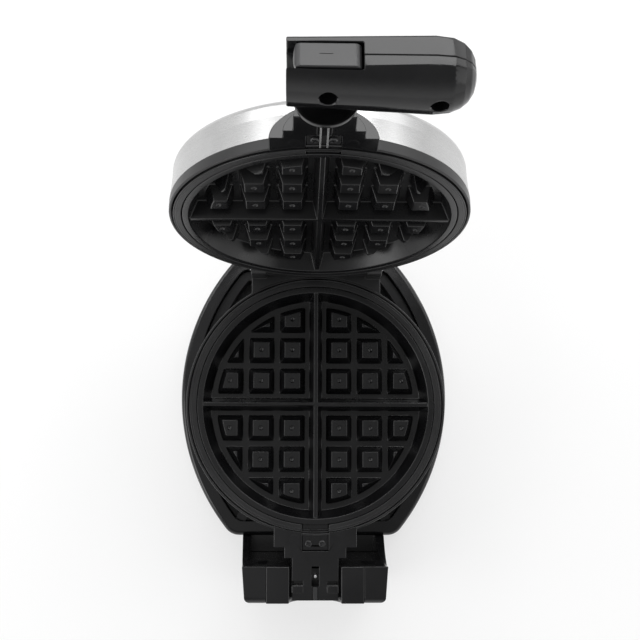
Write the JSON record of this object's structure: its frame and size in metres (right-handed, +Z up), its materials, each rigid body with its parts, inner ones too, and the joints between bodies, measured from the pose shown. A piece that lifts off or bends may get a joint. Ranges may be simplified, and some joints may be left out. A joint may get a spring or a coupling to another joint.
{
  "type": "flip waffle maker",
  "caption": "Round flip waffle maker: peg plates in a turning lower half and an open hinged lid, a bowed base with drip tray, front tower and rear post, and a folding handle.",
  "frame": {"origin": "on the table under the middle of the lower waffle plate", "axes": "+Z up, +Y to the back where the lid is hinged, +X to the right as seen from the handle's side, where the folded handle points"},
  "size_m": [0.2348, 0.3402, 0.434],
  "materials": {
    "black_plastic": "satin black moulded plastic",
    "ring_plastic": "black heat-proof plastic",
    "button_plastic": "dark grey plastic",
    "nonstick": "dark non-stick coating on cast aluminium",
    "cover_steel": "brushed stainless steel",
    "bright_steel": "zinc-plated steel",
    "heater_steel": "dull element sheath",
    "reflector_metal": "bright aluminised sheet",
    "bush_plastic": "natural nylon",
    "feet_rubber": "soft black rubber",
    "tray_plastic": "black moulded plastic",
    "lens": "clear moulded lens",
    "ceramic": "white phenolic"
  },
  "bodies": {
    "base": {"base_housing": "black_plastic", "base_bottom_cover": "ring_plastic", "rubber_feet": "feet_rubber", "drip_tray": "tray_plastic", "front_tower": "black_plastic", "front_saddle": "black_plastic", "front_bush": "bush_plastic", "rear_post": "black_plastic", "rear_bush": "bush_plastic", "rear_cap": "black_plastic", "cord_gland": "feet_rubber", "terminal_block": "ceramic", "control_switch": "ceramic", "indicator_lenses": "lens"},
    "lower_half": {"lower_plate": "nonstick", "lower_ring": "ring_plastic", "lower_cover": "cover_steel", "lower_heater": "heater_steel", "lower_reflector": "reflector_metal", "lower_plate_screws": "bright_steel", "lower_trunnion_screws": "bright_steel", "thermostat": "ceramic", "lower_trunnion": "black_plastic", "hinge_bracket": "ring_plastic", "rear_shaft": "bright_steel", "shaft_clip": "bright_steel", "hinge_pin": "bright_steel"},
    "lid": {"upper_plate": "nonstick", "upper_ring": "ring_plastic", "upper_cover": "cover_steel", "upper_heater": "heater_steel", "upper_reflector": "reflector_metal", "upper_plate_screws": "bright_steel", "upper_trunnion_screws": "bright_steel", "thermal_cutout": "ceramic", "upper_trunnion": "black_plastic", "lid_hinge_arms": "ring_plastic", "handle_neck": "black_plastic"},
    "handle": {"handle_top_shell": "black_plastic", "handle_bottom_shell": "black_plastic", "handle_pivot_pin": "bright_steel", "handle_screw": "bright_steel", "button_spring": "bright_steel"},
    "release_button": {"release_button": "button_plastic"},
    "control_knob": {"control_knob": "button_plastic"}
  },
  "joints": [
    {"name": "flip", "type": "hinge", "parent": "base", "child": "lower_half", "pos_m": [0, 0, 0.12], "axis": [0, -1, 0], "range_deg": [0, 70]},
    {"name": "lid_hinge", "type": "hinge", "parent": "lower_half", "child": "lid", "pos_m": [0, 0.1087, 0.1313], "axis": [1, 0, 0], "range_deg": [0, 102.46]},
    {"name": "handle_fold", "type": "hinge", "parent": "lid", "child": "handle", "pos_m": [0, 0.16039, 0.41759], "axis": [0, -0.9764, 0.2158], "range_deg": [0, 90]},
    {"name": "button_press", "type": "slide", "parent": "handle", "child": "release_button", "axis": [0, -0.2158, -0.9764], "range_m": [0, 0.0025], "stiffness_N_per_m": 600, "deforming": ["button_spring"]},
    {"name": "knob_turn", "type": "hinge", "parent": "base", "child": "control_knob", "pos_m": [0, -0.1586, 0.044], "axis": [0, 1, 0], "range_deg": [0, 270]}
  ]
}
